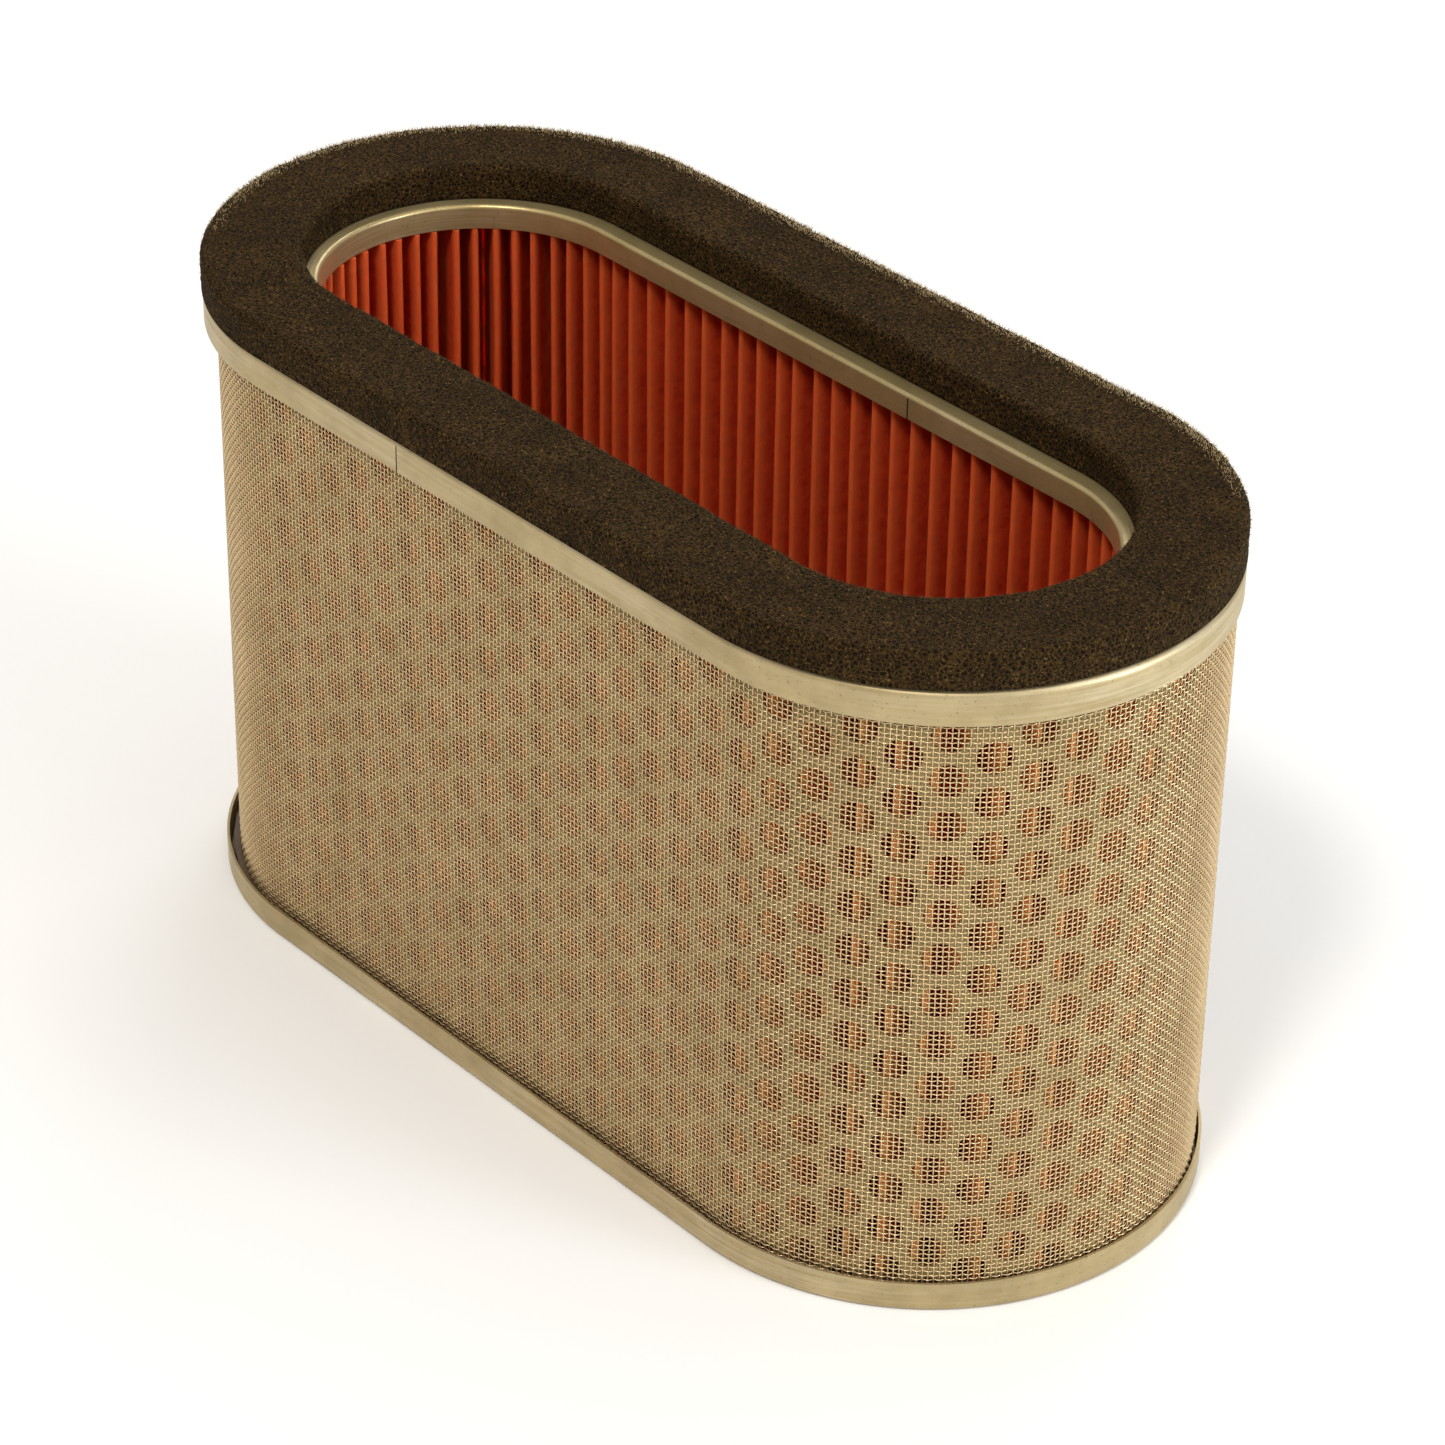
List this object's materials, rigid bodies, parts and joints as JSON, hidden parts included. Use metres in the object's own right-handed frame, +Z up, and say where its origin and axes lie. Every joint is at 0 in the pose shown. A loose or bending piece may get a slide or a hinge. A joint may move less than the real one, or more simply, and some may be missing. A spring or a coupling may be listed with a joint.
{
  "type": "air filter element",
  "caption": "Obround motorcycle air filter with pleated paper inside a perforated shell and wire screen, steel end caps and a foam ring gasket.",
  "frame": {"origin": "middle of the bounding box at the level of the base", "axes": "+Z up through the open top, +X along the long side, +Y across it"},
  "size_m": [0.2246, 0.1016, 0.131],
  "materials": {
    "cap_steel": "zinc-plated sheet, satin, lightly scuffed",
    "shell_steel": "perforated plated sheet, satin",
    "wire_steel": "plain-woven wire cloth, satin",
    "filter_paper": "oiled red pleated paper, matte and slightly mottled",
    "gasket_foam": "open-cell foam, matte",
    "potting_compound": "cured compound, satin"
  },
  "bodies": {
    "root": {"bottom_plate": "cap_steel", "bottom_band": "cap_steel", "bottom_potting": "potting_compound", "pleated_media": "filter_paper", "media_seam_clip": "shell_steel", "perforated_shell": "shell_steel", "shell_seam_weld": "shell_steel", "wire_screen": "wire_steel", "screen_seam_solder": "wire_steel", "top_potting": "potting_compound", "top_plate": "cap_steel", "top_outer_band": "cap_steel", "top_inner_band": "cap_steel", "gasket_adhesive": "potting_compound", "foam_gasket": "gasket_foam"}
  },
  "joints": []
}
